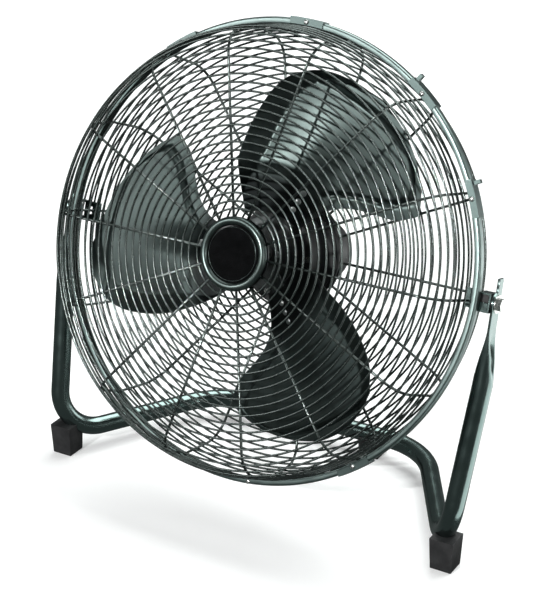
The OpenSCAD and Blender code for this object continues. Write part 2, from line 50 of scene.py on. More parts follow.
# ---- Frames ----
PIVOT_AT = Vector(JOINTS["head_tilt"]["pos_m"])
FAN_AT = Vector(JOINTS["fan_spin"]["pos_m"])
FAN_OUT = -Vector(JOINTS["fan_spin"]["axis"]).normalized()
SIDE = Vector((1, 0, 0))
FAN_UP = FAN_OUT.cross(SIDE)
HEAD = Matrix((SIDE, FAN_UP, FAN_OUT)).transposed().to_4x4()
HEAD.translation = FAN_AT
MIRROR = Matrix.Scale(-1, 4, SIDE)

# ---- Sizes, in millimetres, as in the CAD source ----
RIM_R = 260
BAND_HALF = 5.9
BAND_IN_R = 253
BAND_T = 1.4
BAND_CORNER = 2.6
FACE_H = 67
SHOULDER_R = 32
WALL_SLANT = math.radians(10)
SPOKES = 14
RING_WIRE = 2.4
SPOKE_WIRE = 3
EDGE_WIRE = 4
RING_PITCH = 9.1
FIRST_RING_R = 57
FRONT_INNER_R, FRONT_SPOKE_R = 49, 34
REAR_INNER_R, REAR_SPOKE_R = 66, 52
REAR_FIRST_RING = 2
WELD = 0.3
LAY = (RING_WIRE + SPOKE_WIRE) / 2 - WELD
EDGE_R = RIM_R - 5.7
EDGE_H = 2.3
FOOT_R = EDGE_R - (EDGE_WIRE + SPOKE_WIRE) / 2 + WELD
SHOULDER_H = FACE_H - SHOULDER_R
SHOULDER_AT = FOOT_R - (
    SHOULDER_R - LAY + (SHOULDER_H - EDGE_H) * math.sin(WALL_SLANT)
) / math.cos(WALL_SLANT)
FACE_RINGS = 20
ALL_RINGS = 26
LOOP_R, LOOP_HALF, LOOP_END = 156, 6, -150
LOOP_LAP = 22
LOOP_ANGLE = -40
CLIP_ANGLES = (24, 52, 88, 124, 307)
BAND_SCREW = 277
CLIP_SCREW_R = RIM_R - 3
CLIP_SCREW = {"r": 2.8, "h": 1.8, "shank_r": 1.4, "shank": 2.8}
CLIP_T = 1.4
CLIP_HALF = BAND_HALF + 0.2 + CLIP_T
BRACKET_IN = 256
BRACKET_WEB = 268.5
BRACKET_HALF = 10.5
BADGE_R = 31.3
BADGE_RISE = 3.5
RING_LINE_R = 29.2
RING_LINE_WIRE = 0.4
BLADE_ANGLES = (63.5, 183.5, 303.5)
BLADE_TIP = 218.5
BLADE_ROOT = 46
ROOT_PITCH = 27
OUTER_PITCH = 11
KNOB_SEAT = -142
KNOB_R = 14
KNOB_END = 14
GRIP_HALF = 2.9
TUBE_D = 22
LEG_X = 272.5
LEG_LEAN = math.radians(14.6)
BASE_HALF_W = 259
REAR_HALF_W = 143
BASE_H = 25
REAR_REACH = 124
FRONT_BEND_R = 48
REAR_BEND_R = 90
TUBE_SIDES = 48


# ======== Mesh helpers ========


def build(name, verts, faces, matrix=None, smooth=True):
    """A mesh object from points in millimetres, placed by matrix in the row frame."""
    mesh = bpy.data.meshes.new(name)
    mesh.from_pydata([Vector(v) * MM for v in verts], [], faces)
    mesh.transform(matrix or Matrix.Identity(4))
    bm = bmesh.new()
    bm.from_mesh(mesh)
    bmesh.ops.recalc_face_normals(bm, faces=bm.faces)
    bm.to_mesh(mesh)
    bm.free()
    mesh.polygons.foreach_set("use_smooth", [smooth] * len(mesh.polygons))
    obj = bpy.data.objects.new(name, mesh)
    bpy.context.scene.collection.objects.link(obj)
    return obj


def merge(parts):
    """One (verts, faces) pair from several."""
    verts, faces = [], []
    for v, f in parts:
        base = len(verts)
        verts += v
        faces += [[base + i for i in face] for face in f]
    return verts, faces


def eased(t):
    """Smooth step from 0 to 1."""
    c = min(max(t, 0), 1)
    return c * c * (3 - 2 * c)


def between(a, b, t):
    return a + (b - a) * t


def moved(part, matrix):
    return [matrix @ Vector(v) for v in part[0]], part[1]


def turned(angle):
    return Matrix.Rotation(math.radians(angle), 4, "Z")


def lifted(x, y, z):
    return Matrix.Translation((x, y, z))


def loft(rings):
    """Skin over rings of points that all have the same count, capped at both ends."""
    n = len(rings[0])
    verts = [p for ring in rings for p in ring]
    faces = []
    for i in range(len(rings) - 1):
        a, b = i * n, (i + 1) * n
        faces += [[a + j, a + (j + 1) % n, b + (j + 1) % n, b + j] for j in range(n)]
    faces.append(list(range(n))[::-1])
    faces.append([(len(rings) - 1) * n + j for j in range(n)])
    return verts, faces


def revolve(profile, steps=96, closed=False):
    """Profile of (radius, height) points turned round the local Z axis."""
    rings = []
    for i in range(steps):
        c, s = math.cos(TAU * i / steps), math.sin(TAU * i / steps)
        rings.append([(r * c, r * s, h) for r, h in profile])
    verts = [p for ring in rings for p in ring]
    n = len(profile)
    faces = []
    for i in range(steps):
        a, b = i * n, (i + 1) % steps * n
        for j in range(n if closed else n - 1):
            k = (j + 1) % n
            faces.append([a + j, b + j, b + k, a + k])
    if not closed:
        faces.append([i * n for i in range(steps)][::-1])
        faces.append([i * n + n - 1 for i in range(steps)])
    return verts, faces


def wire_ring(r, h, d, steps=192, sides=10):
    circle = [
        (r + d / 2 * math.cos(TAU * j / sides), h + d / 2 * math.sin(TAU * j / sides))
        for j in range(sides)
    ]
    return revolve(circle, steps, closed=True)


def rounded_path(path, radii, step=6):
    """Points along straight runs joined by arcs, with an arc point at least every step degrees."""
    points = [Vector(path[0])]
    for i in range(1, len(path) - 1):
        corner = Vector(path[i])
        before = (corner - Vector(path[i - 1])).normalized()
        after = (Vector(path[i + 1]) - corner).normalized()
        turn = before.angle(after)
        r = radii[i - 1]
        start = corner - before * (r * math.tan(turn / 2))
        inward = (after - before * before.dot(after)).normalized()
        n = max(2, math.ceil(math.degrees(turn) / step))
        for k in range(n + 1):
            a = turn * k / n
            points.append(start + before * (r * math.sin(a)) + inward * (r * (1 - math.cos(a))))
    points.append(Vector(path[-1]))
    return points


def sections(points, up):
    """Frames (point, across, up) along a path, turned as little as possible from the first."""
    frames = []
    normal = Vector(up)
    for i, p in enumerate(points):
        a = points[max(i - 1, 0)]
        b = points[min(i + 1, len(points) - 1)]
        along = (b - a).normalized()
        normal = (normal - along * normal.dot(along)).normalized()
        frames.append((p, along.cross(normal), normal))
    return frames


def round_rings(frames, d, sides):
    """A circle of points round each frame of a path."""
    turns = [TAU * j / sides for j in range(sides)]
    return [
        [p + (across * math.cos(a) + normal * math.sin(a)) * d / 2 for a in turns]
        for p, across, normal in frames
    ]


def sweep(points, d, sides, up, ease):
    """Round bar along a path, whose ends are rounded off over the length ease."""
    frames = sections(points, up)
    rings = round_rings(frames, d, sides)
    tips = []
    for end, nearby in ((0, 1), (-1, -2)):
        centre = frames[end][0]
        out = (centre - frames[nearby][0]).normalized() * ease
        tips.append([centre + (q - centre) * 0.55 + out for q in rings[end]])
    return loft([tips[0]] + rings + [tips[1]])


def box(x0, x1, y0, y1, z0, z1):
    verts = [(x, y, z) for x in (x0, x1) for y in (y0, y1) for z in (z0, z1)]
    faces = [[0, 1, 3, 2], [4, 6, 7, 5], [0, 4, 5, 1], [2, 3, 7, 6], [0, 2, 6, 4], [1, 5, 7, 3]]
    return verts, faces


def soften(obj, width, segments=2, angle=30):
    """Rounded edges, as a modifier, so the mesh itself is kept."""
    bevel = obj.modifiers.new("edges", "BEVEL")
    bevel.width = width * MM
    bevel.segments = segments
    bevel.limit_method = "ANGLE"
    bevel.angle_limit = math.radians(angle)
    bevel.harden_normals = False
    return obj


def shade_by_angle(obj, angle):
    """Smooth faces, with the edges sharper than angle kept crisp."""
    mesh = obj.data
    mesh.polygons.foreach_set("use_smooth", [True] * len(mesh.polygons))
    bm = bmesh.new()
    bm.from_mesh(mesh)
    limit = math.radians(angle)
    for edge in bm.edges:
        edge.smooth = not (len(edge.link_faces) == 2 and edge.calc_face_angle(0) > limit)
    bm.to_mesh(mesh)
    bm.free()
    return obj


def install(obj, body, material, slot, *stands_for):
    """Rides obj on its body, gives it its material and hides the CAD nodes it stands for."""
    obj.data.materials.clear()
    obj.data.materials.append(material)
    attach(obj, body)
    if stands_for:
        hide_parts(*stands_for)
    return obj


def carve(obj, cutter):
    """Cuts one object out of another and removes the cutter."""
    cut = obj.modifiers.new("cut", "BOOLEAN")
    cut.object = cutter
    cut.solver = "EXACT"
    bpy.context.view_layer.update()
    depsgraph = bpy.context.evaluated_depsgraph_get()
    mesh = bpy.data.meshes.new_from_object(obj.evaluated_get(depsgraph))
    obj.modifiers.clear()
    obj.data = mesh
    bpy.data.objects.remove(cutter)
    return obj


# ======== Materials ========


class Nodes:
    """A material's node tree, with a Principled shader and coordinates fixed to the object."""

    def __init__(self, name, **sockets):
        self.material = bpy.data.materials.new(name)
        self.material.use_nodes = True
        self.tree = self.material.node_tree
        self.shader = self.tree.nodes["Principled BSDF"]
        self.where = self.tree.nodes.new("ShaderNodeTexCoord").outputs["Object"]
        for key, value in sockets.items():
            self.shader.inputs[key.replace("_", " ")].default_value = value

    def add(self, kind, inputs=None, **props):
        node = self.tree.nodes.new(kind)
        for key, value in props.items():
            setattr(node, key, value)
        for key, value in (inputs or {}).items():
            if isinstance(value, bpy.types.NodeSocket):
                self.tree.links.new(value, node.inputs[key])
            else:
                node.inputs[key].default_value = value
        return node

    def link(self, output, socket):
        self.tree.links.new(output, self.shader.inputs[socket])

    def stretched(self, x, y, z):
        """Coordinates scaled unevenly, for grain that runs one way."""
        return self.add("ShaderNodeMapping", {"Vector": self.where, "Scale": (x, y, z)}).outputs[0]

    def noise(self, scale, detail=3.0, rough=0.5, where=None):
        inputs = {"Vector": where or self.where, "Scale": scale, "Detail": detail, "Roughness": rough}
        return self.add("ShaderNodeTexNoise", inputs).outputs["Fac"]

    def cells(self, scale):
        inputs = {"Vector": self.where, "Scale": scale}
        return self.add("ShaderNodeTexVoronoi", inputs).outputs["Distance"]

    def ramp(self, factor, low, high, start=0.3, end=0.7):
        """Blend from one colour to another as factor goes from start to end."""
        node = self.add("ShaderNodeValToRGB", {"Fac": factor})
        a, b = node.color_ramp.elements
        a.position, a.color = start, (*low, 1)
        b.position, b.color = end, (*high, 1)
        return node.outputs["Color"]

    def span(self, factor, low, high):
        inputs = {"Value": factor, "From Min": 0.25, "From Max": 0.75, "To Min": low, "To Max": high}
        return self.add("ShaderNodeMapRange", inputs).outputs["Result"]

    def bump(self, height, strength, depth, over=None):
        inputs = {"Height": height, "Strength": strength, "Distance": depth * MM}
        if over:
            inputs["Normal"] = over
        return self.add("ShaderNodeBump", inputs).outputs["Normal"]


def paint(name, low, high, rough, metallic=0.6, coat=0.3, peel=0.12, flake=0.5):
    """Metallic enamel: cloudy tone, fine flake, orange peel and uneven gloss."""
    n = Nodes(name, Metallic=metallic, Coat_Weight=coat, Coat_Roughness=0.18)
    cloud = n.noise(28, 4)
    flakes = n.noise(3800, 1)
    mid = tuple((a + b) / 2 for a, b in zip(low, high))
    tone = n.ramp(cloud, low, high)
    spark = n.ramp(flakes, mid, tuple(min(1, c * 1.6) for c in high), 0.45, 0.75)
    mix = n.add("ShaderNodeMixRGB", {"Fac": flake, "Color1": tone, "Color2": spark})
    n.link(mix.outputs["Color"], "Base Color")
    n.link(n.span(n.noise(60, 5), rough - 0.06, rough + 0.08), "Roughness")
    n.link(n.bump(n.noise(420, 2), peel, 0.08), "Normal")
    return n.material


def bare(name, low, high, rough, grain=(1, 1, 1), scale=900):
    """Uncoated metal with patchy tone and fine grain, which may run one way."""
    n = Nodes(name, Metallic=1.0)
    lines = n.noise(scale, 3, 0.6, n.stretched(*grain))
    n.link(n.ramp(n.noise(45, 5), low, high), "Base Color")
    n.link(n.span(lines, rough - 0.08, rough + 0.1), "Roughness")
    n.link(n.bump(lines, 0.25, 0.04), "Normal")
    return n.material


def moulded(name, low, high, rough, grain=2600, depth=0.06):
    """Plastic or rubber with a fine moulded texture, patchy tone and uneven gloss."""
    n = Nodes(name)
    n.link(n.ramp(n.noise(70, 5), low, high), "Base Color")
    n.link(n.span(n.noise(190, 4), rough - 0.07, rough + 0.07), "Roughness")
    fine = n.bump(n.cells(grain), 0.3, depth)
    n.link(n.bump(n.noise(35, 3), 0.15, 0.2, fine), "Normal")
    return n.material


frame_paint = paint("frame_paint", (0.13, 0.18, 0.172), (0.18, 0.24, 0.228), 0.2, 1, 0.3, 0.04)
rim_paint = paint("rim_paint", (0.16, 0.21, 0.2), (0.22, 0.28, 0.268), 0.34, 1, 0.3)
# The rim's enamel made darker for the clips, as painted shade.
clip_paint_shaded = paint("clip_paint_shaded", (0.07, 0.094, 0.09), (0.1, 0.132, 0.126), 0.36, 1, 0.3)
wire_paint = paint("wire_paint", (0.06, 0.075, 0.07), (0.1, 0.122, 0.115), 0.24, 1, 0.7, 0.03)
motor_paint = paint("motor_paint", (0.008, 0.0095, 0.0095), (0.018, 0.021, 0.021), 0.4, 0.3, 0.1)

# Distances from the fan's axis, in metres, between which the painted shade over the blades' roots gives
# way to the enamel.
ROOT_SHADE = (0.082, 0.102)


def blade_enamel():
    """The metallic enamel, with painted shade that turns it black over the blades' riveted roots."""
    n = Nodes("blade_paint", Metallic=1.0, Coat_Weight=0.2, Coat_Roughness=0.3)
    tone = n.ramp(n.noise(28, 4), (0.046, 0.062, 0.058), (0.068, 0.088, 0.083))
    spark = n.ramp(n.noise(3800, 1), (0.042, 0.056, 0.053), (0.105, 0.132, 0.125), 0.45, 0.75)
    mix = n.add("ShaderNodeMixRGB", {"Fac": 0.5, "Color1": tone, "Color2": spark})
    vector = "ShaderNodeVectorMath"
    from_fan = n.add(vector, {0: n.where, 1: FAN_AT}, operation="SUBTRACT").outputs[0]
    across = n.add(vector, {0: from_fan, 1: FAN_OUT}, operation="CROSS_PRODUCT").outputs[0]
    radius = n.add(vector, {0: across}, operation="LENGTH").outputs["Value"]
    ends = {"From Min": ROOT_SHADE[0], "From Max": ROOT_SHADE[1], "To Min": 0.0, "To Max": 1.0}
    outward = n.add("ShaderNodeMapRange", {"Value": radius, **ends}).outputs["Result"]
    # Painted shade: near the hub the blades are coloured black instead of their enamel.
    dark = {"Fac": outward, "Color1": (0.006, 0.008, 0.008, 1), "Color2": mix.outputs["Color"]}
    n.link(n.add("ShaderNodeMixRGB", dark).outputs["Color"], "Base Color")
    n.link(n.span(n.noise(60, 5), 0.32, 0.44), "Roughness")
    n.link(n.bump(n.noise(420, 2), 0.1, 0.08), "Normal")
    return n.material


blade_paint = blade_enamel()
foot_rubber = moulded("foot_rubber", (0.008, 0.008, 0.009), (0.022, 0.022, 0.023), 0.62)
bushing_rubber = moulded("bushing_rubber", (0.01, 0.01, 0.01), (0.025, 0.025, 0.025), 0.6)
spacer_plastic = moulded("spacer_plastic", (0.02, 0.02, 0.02), (0.05, 0.05, 0.05), 0.5)
housing_plastic = moulded("housing_plastic", (0.01, 0.01, 0.011), (0.022, 0.022, 0.024), 0.45, 1900)
switch_plastic = moulded("switch_plastic", (0.04, 0.04, 0.04), (0.09, 0.09, 0.09), 0.5)
capacitor_plastic = moulded("capacitor_plastic", (0.55, 0.55, 0.5), (0.75, 0.75, 0.7), 0.45)
knob_plastic = moulded("knob_plastic", (0.008, 0.008, 0.009), (0.02, 0.02, 0.022), 0.3, 3200, 0.03)
pointer_white = moulded("pointer_white", (0.6, 0.6, 0.58), (0.75, 0.75, 0.72), 0.4, 3200, 0.02)
zinc_steel = bare("zinc_steel", (0.55, 0.57, 0.56), (0.78, 0.79, 0.76), 0.26)
dark_steel = bare("dark_steel", (0.05, 0.055, 0.055), (0.12, 0.13, 0.13), 0.42)
lamination_steel = bare("lamination_steel", (0.2, 0.19, 0.18), (0.4, 0.39, 0.36), 0.4, (0.2, 3, 3), 1400)
copper_winding = bare("copper_winding", (0.35, 0.12, 0.04), (0.7, 0.3, 0.12), 0.35, (1, 6, 6), 500)
bearing_bronze = bare("bearing_bronze", (0.4, 0.27, 0.1), (0.66, 0.48, 0.22), 0.4)
shaft_steel = bare("shaft_steel", (0.45, 0.46, 0.47), (0.7, 0.71, 0.72), 0.22, (5, 1, 1), 1500)
hub_aluminium = bare("hub_aluminium", (0.3, 0.31, 0.31), (0.5, 0.51, 0.51), 0.48, (1, 1, 1), 500)
rivet_metal = bare("rivet_metal", (0.3, 0.33, 0.33), (0.55, 0.57, 0.56), 0.35)
badge_metal = bare("badge_metal", (0.09, 0.118, 0.112), (0.15, 0.185, 0.176), 0.3, (1, 1, 1), 2400)


def gloss_black():
    """Black lacquer with slightly uneven tone, gloss and surface."""
    n = Nodes("badge_gloss", IOR=1.38)
    n.link(n.ramp(n.noise(120, 5), (0.001, 0.001, 0.0012), (0.003, 0.003, 0.0034)), "Base Color")
    n.link(n.span(n.noise(240, 4), 0.06, 0.12), "Roughness")
    n.link(n.bump(n.noise(300, 2), 0.02, 0.01), "Normal")
    return n.material


badge_gloss = gloss_black()

# ======== Cage ========


def on_grille(t):
    """Point of the ring line at arc length t from the first ring, as (radius, height)."""
    flat = SHOULDER_AT - FIRST_RING_R
    bend = SHOULDER_R * (math.pi / 2 - WALL_SLANT)
    if t <= flat:
        return FIRST_RING_R + t, FACE_H
    if t <= flat + bend:
        a = math.pi / 2 - (t - flat) / SHOULDER_R
        return SHOULDER_AT + SHOULDER_R * math.cos(a), SHOULDER_H + SHOULDER_R * math.sin(a)
    w = t - flat - bend
    return (
        SHOULDER_AT + SHOULDER_R * math.cos(WALL_SLANT) + w * math.sin(WALL_SLANT),
        SHOULDER_H + SHOULDER_R * math.sin(WALL_SLANT) - w * math.cos(WALL_SLANT),
    )


def grille_rings(first, last):
    """Rings at an even pitch along the grille's outline."""
    return [wire_ring(*on_grille(k * RING_PITCH), RING_WIRE) for k in range(first, last + 1)]


def grille_spokes(r_in):
    """Spokes laid inside the rings, from radius r_in out and down to the edge wire."""
    top = FACE_H - LAY
    corner_r = FOOT_R - (top - EDGE_H) * math.tan(WALL_SLANT)
    path = [(r_in, 0, top), (corner_r, 0, top), (FOOT_R, 0, EDGE_H)]
    spoke = sweep(rounded_path(path, [SHOULDER_R - LAY]), SPOKE_WIRE, 10, (0, 1, 0), 0.8)
    return [moved(spoke, turned(i * 360 / SPOKES)) for i in range(SPOKES)]


def make_grilles():
    """Two welded wire grilles, the rear one turned over."""
    flip = Matrix.Scale(-1, 4, Vector((0, 0, 1)))
    sides = (
        ("front", Matrix.Identity(4), FRONT_INNER_R, 0, FRONT_SPOKE_R),
        ("rear", flip, REAR_INNER_R, REAR_FIRST_RING, REAR_SPOKE_R),
    )
    for side, place, inner_r, first, spoke_r in sides:
        inner = wire_ring(inner_r, FACE_H - 2 * LAY, RING_WIRE)
        sets = {
            "face_rings": [inner] + grille_rings(first, FACE_RINGS - 1),
            "wall_rings": grille_rings(FACE_RINGS, ALL_RINGS - 1),
            "spokes": grille_spokes(spoke_r),
            "edge_ring": [wire_ring(EDGE_R, EDGE_H, EDGE_WIRE)],
        }
        for kind, parts in sets.items():
            obj = build(f"{side}_{kind}_wire", *merge(parts), HEAD @ place)
            install(obj, "head", wire_paint, "wire_paint", f"{side}_{kind}")


def make_rear_loop():
    """Wire loop that stands out behind the rear grille."""
    root = -(FACE_H + RING_WIRE / 2 + SPOKE_WIRE / 2 - WELD)
    half_path = [(LOOP_R - LOOP_LAP, -LOOP_HALF, root), (LOOP_R, -LOOP_HALF, root)]
    half_path.append((LOOP_R, -LOOP_HALF, LOOP_END))
    path = half_path + [(x, -y, z) for x, y, z in reversed(half_path)]
    points = rounded_path(path, [6, 4, 4, 6], 15)
    loop = sweep(points, SPOKE_WIRE, 12, (1, 0, 0), 0.8)
    obj = build("rear_loop_wire", *moved(loop, turned(LOOP_ANGLE)), HEAD)
    install(obj, "head", wire_paint, "wire_paint", "rear_loop")


def arc(x, y, r, start, end, steps=5):
    """Points of an arc, with angles in degrees."""
    angles = [math.radians(start + (end - start) * i / steps) for i in range(steps + 1)]
    return [(x + r * math.cos(a), y + r * math.sin(a)) for a in angles]


def make_band():
    """Rolled channel with rounded shoulders and turned lips."""
    lip, corner = BAND_T / 2, BAND_CORNER
    inner = corner - BAND_T
    top = BAND_HALF
    profile = arc(BAND_IN_R + lip, top - lip, lip, 270, 90)
    profile += arc(RIM_R - corner, top - corner, corner, 90, 0)
    profile += arc(RIM_R - corner, corner - top, corner, 0, -90)
    profile += arc(BAND_IN_R + lip, lip - top, lip, 270, 90)
    profile += arc(RIM_R - corner, corner - top, inner, -90, 0)
    profile += arc(RIM_R - corner, top - corner, inner, 0, 90)
    obj = build("rim_band_rolled", *revolve(profile, 256, closed=True), HEAD)
    install(obj, "head", rim_paint, "rim_paint", "rim_band")


def pan_head(r, h, shank_r, shank):
    """Pan-head screw along local Z with its seat at zero, and the bars that cut its recess."""
    dome = [(shank_r, -shank), (shank_r, 0), (r, 0), (r, h * 0.45)]
    dome += [(r * math.cos(a), h * (0.45 + 0.55 * math.sin(a))) for a in (0.45, 0.9, 1.25)]
    body = revolve(dome + [(0.01, h)], 24)
    slot = r * 0.55
    cross = [
        box(-slot, slot, -r * 0.13, r * 0.13, h * 0.45, h * 1.3),
        box(-r * 0.13, r * 0.13, -slot, slot, h * 0.45, h * 1.3),
    ]
    return body, cross


def make_clip_screws():
    """Cross-recessed screws of the rim clips and of the band's joint."""
    places = [turned(a) @ lifted(CLIP_SCREW_R, 0, CLIP_HALF) for a in CLIP_ANGLES]
    places.append(turned(BAND_SCREW) @ lifted(CLIP_SCREW_R, 0, BAND_HALF))
    head, cross = pan_head(**CLIP_SCREW)
    screws = build("clip_screws_cross", *merge([moved(head, p) for p in places]), HEAD)
    for bar in cross:
        carve(screws, build("clip_screws_cut", *merge([moved(bar, p) for p in places]), HEAD))
    shade_by_angle(screws, 40)
    install(screws, "head", zinc_steel, "zinc_steel", "clip_screws")


def make_bracket_faces():
    """Fronts of the two pivot brackets: a painted plate below and, above it, a black rubber sheet that
    stands for the shade inside the bracket.
    """
    gap = 0.2
    back, front = -BAND_HALF - 2.2, -BAND_HALF - 0.6
    plate = box(BRACKET_IN, BRACKET_WEB - gap, gap - BRACKET_HALF, -gap, back, front)
    # Black sheet put in the bracket's upper half as painted shade.
    shade_sheet = box(BRACKET_IN, BRACKET_WEB - gap, gap, BRACKET_HALF - gap, back, front)
    looks = (
        ("plate", plate, frame_paint, "frame_paint"),
        ("shade_sheet", shade_sheet, bushing_rubber, "bushing_rubber"),
    )
    for side, place in (("right", HEAD), ("left", MIRROR @ HEAD)):
        for kind, part, material, slot in looks:
            obj = build(f"bracket_{kind}_{side}", *part, place, smooth=False)
            soften(obj, 0.4)
            install(obj, "head", material, slot)


# ======== Stand ========

LEG_UP = Vector((0, math.sin(LEG_LEAN), math.cos(LEG_LEAN)))
PLATE_IN = 271.8
PLATE_T = 3
PLATE_BACK = 9
NECK_FRONT = 10
NECK_LEN = 26
FLARE_LEN = 62
CRIMP_DEPTH = 5
CRIMP_WIDTH = 2.6
EYE_R = 12
EYE_LOW = -6.6
TAB_FRONT = 2
TAB_TOP = 27


def leg_place(side):
    """Frame of a leg's end: local X rearward, Y up the leg and Z outward, from the pivot."""
    rear = Vector((0, LEG_UP.z, -LEG_UP.y))
    out = Vector((side, 0, 0))
    place = Matrix((rear, LEG_UP, out)).transposed().to_4x4()
    place.translation = PIVOT_AT / MM + out * PLATE_IN
    return place


def plate_front(y):
    """How far the plate reaches forward of the bolt's line at height y."""
    if y < EYE_LOW:
        return NECK_FRONT
    return max(math.sqrt(max(EYE_R ** 2 - y * y, 0)), TAB_FRONT)


def leg_end_rings(side):
    """Sections from the round tube up through the crimp, the bolt eye and the tab."""
    low = -NECK_LEN - FLARE_LEN
    tube_r = TUBE_D / 2
    heights = [low + FLARE_LEN * i / 24 for i in range(1, 24)] + [-NECK_LEN, -20, -14, -9]
    heights += [between(EYE_LOW, EYE_R - 0.2, i / 12) for i in range(13)]
    heights += [EYE_R, 18, TAB_TOP - 0.6, TAB_TOP]
    rings = []
    for y in heights:
        flat = eased((y - low) / FLARE_LEN)
        front = between(tube_r, plate_front(y), flat)
        back = between(tube_r, PLATE_BACK, flat)
        thick = between(tube_r, PLATE_T / 2, flat)
        middle = between(LEG_X - PLATE_IN, PLATE_T / 2, flat)
        power = 2 / (2 + 8 * flat ** 2)
        groove = CRIMP_DEPTH * math.sin(math.pi * flat)
        trim = 0.5 if y == TAB_TOP else 0
        ring = []
        for j in range(TUBE_SIDES):
            a = TAU * j / TUBE_SIDES
            c, s = math.cos(a), math.sin(a)
            x = math.copysign(abs(s) ** power, s) * ((back if s > 0 else front) - trim)
            z = math.copysign(abs(c) ** power, c) * (thick - trim / 2)
            if c > 0:
                dip = groove * math.exp(-((x / CRIMP_WIDTH) ** 2))
                z -= min(dip, max(z + thick * 0.6, 0))
            ring.append((x, y, middle + z))
        rings.append([leg_place(side) @ Vector(p) for p in ring])
    return rings


def make_stand():
    """One bent tube whose ends are crimped into flat plates for the pivot bolts."""
    _, y, z = PIVOT_AT / MM
    front = Vector((BASE_HALF_W, y, z)) - LEG_UP * ((z - BASE_H) / LEG_UP.z)
    rear = Vector((REAR_HALF_W, y + REAR_REACH, BASE_H))
    top = Vector((LEG_X, y, z)) - LEG_UP * (NECK_LEN + FLARE_LEN)
    right = [top, front, rear]
    path = right + [MIRROR @ p for p in reversed(right)]
    radii = [FRONT_BEND_R, REAR_BEND_R, REAR_BEND_R, FRONT_BEND_R]
    frames = sections(rounded_path(path, radii, 3), Vector((0, 1, 0)))
    tube = round_rings(frames, TUBE_D, TUBE_SIDES)
    obj = build("stand_tube_bent", *loft(leg_end_rings(1)[::-1] + tube + leg_end_rings(-1)))
    shade_by_angle(obj, 50)
    install(obj, "stand", frame_paint, "frame_paint", "stand_tube")


# ======== Fan ========


PANEL_RISE = 3.2
GROOVE_DEPTH = 2.6
GROOVE_AT = 17
FOLD_WIDTH = 24
FOLD_SLOPE = 0.65
ARM_HALF = 12
EASE = 12
BOW = 0.0012
ROOT_END = 86
ROOT_FADE = 104
TRAIL_AT, TRAIL_SWEEP = 66.4, 0.2075
TRAIL_CLOSE, TRAIL_POWER = 168, 3
LEAD_AT, LEAD_GAIN = 20, 20
LEAD_CLOSE, LEAD_POWER = 180, 1.3
RIVET_RADII = (60, 71, 82)
HUB_RIVET_R = 17


def closing(r, start, power):
    """Factor that rounds an edge in to the tip beyond radius start."""
    end = BLADE_TIP + 0.5
    return 1 if r <= start else (1 - ((r - start) / (end - start)) ** power) ** (1 / power)


def trail_deg(r):
    return (TRAIL_AT - TRAIL_SWEEP * r) * closing(r, TRAIL_CLOSE, TRAIL_POWER)


def lead_deg(r):
    return -(LEAD_AT + LEAD_GAIN * eased((r - 75) / 90)) * closing(r, LEAD_CLOSE, LEAD_POWER)


def blade_height(r, a, lead, trail):
    """Height of the sheet: steep over the spider's arm, gentle and bowed further out, with its
    trailing edge folded forward."""
    steep, gentle = math.tan(math.radians(ROOT_PITCH)), math.tan(math.radians(OUTER_PITCH))
    across = r * math.sin(a)
    to_lead, to_trail = r * (a - lead), r * (trail - a)
    to_tip = 1.15 * (BLADE_TIP - r)
    ease = min(max(abs(across) - ARM_HALF, 0), EASE)
    gain = (steep - gentle) * (min(abs(across), ARM_HALF) + ease - ease * ease / (2 * EASE))
    root = 1 - eased((r - ROOT_END) / ROOT_FADE)
    sheet = gentle * across + root * math.copysign(gain, across)
    sheet -= BOW * eased((r - ROOT_END) / 40) * max(across, 0) ** 2
    wrap = to_tip + 12 + 0.6 * max(0, to_trail - 30)
    fold = max(0, FOLD_WIDTH * eased((r - 60) / 60) - min(to_trail, wrap)) * FOLD_SLOPE
    edge = min(to_lead, to_tip)
    groove = GROOVE_DEPTH * max(0, 1 - abs(edge - GROOVE_AT) / 3.5)
    panel = PANEL_RISE * eased((edge - GROOVE_AT - 1) / 5) - groove
    return sheet + fold + panel * eased((r - 90) / 14)


def blade_shell(rows=110, cols=90, thick=1.2):
    """Pitched and folded sheet with a pressed panel that follows its outline."""
    sheets = []
    for offset in (thick / 2, -thick / 2):
        for i in range(rows + 1):
            r = BLADE_ROOT + (BLADE_TIP - BLADE_ROOT) * math.sin(math.pi / 2 * i / rows)
            lead, trail = math.radians(lead_deg(r)), math.radians(trail_deg(r))
            for j in range(cols + 1):
                a = lead + (trail - lead) * j / cols
                height = blade_height(r, a, lead, trail) + offset
                sheets.append((r * math.cos(a), r * math.sin(a), height))
    n = cols + 1
    sheet = (rows + 1) * n
    faces = []
    for i in range(rows):
        for j in range(cols):
            a = i * n + j
            faces.append([a, a + 1, a + n + 1, a + n])
            faces.append([sheet + a, sheet + a + n, sheet + a + n + 1, sheet + a + 1])
    border = [i * n for i in range(rows + 1)] + [rows * n + j for j in range(1, n)]
    border += [i * n + cols for i in range(rows - 1, -1, -1)] + [j for j in range(cols - 1, 0, -1)]
    for k, a in enumerate(border):
        b = border[(k + 1) % len(border)]
        faces.append([a, b, sheet + b, sheet + a])
    return sheets, faces


def make_blades():
    """Three blades, turned from one shell."""
    shell = blade_shell()
    for angle, letter in zip(BLADE_ANGLES, "abc"):
        obj = build(f"blade_{letter}_pressed", *moved(shell, turned(angle)), HEAD)
        shade_by_angle(obj, 50)
        install(obj, "rotor", blade_paint, "blade_paint", f"blade_{letter}")


def rivet(bottom, seat):
    """Rivet along local Z from height bottom, with a domed head on height seat."""
    dome = [(2, bottom), (2, seat), (3.6, seat), (3.5, seat + 0.5)]
    dome += [(3.6 * math.cos(a), seat + 0.4 + 1.2 * math.sin(a)) for a in (0.4, 0.8, 1.2)]
    return revolve(dome + [(0.01, seat + 1.6)], 28)


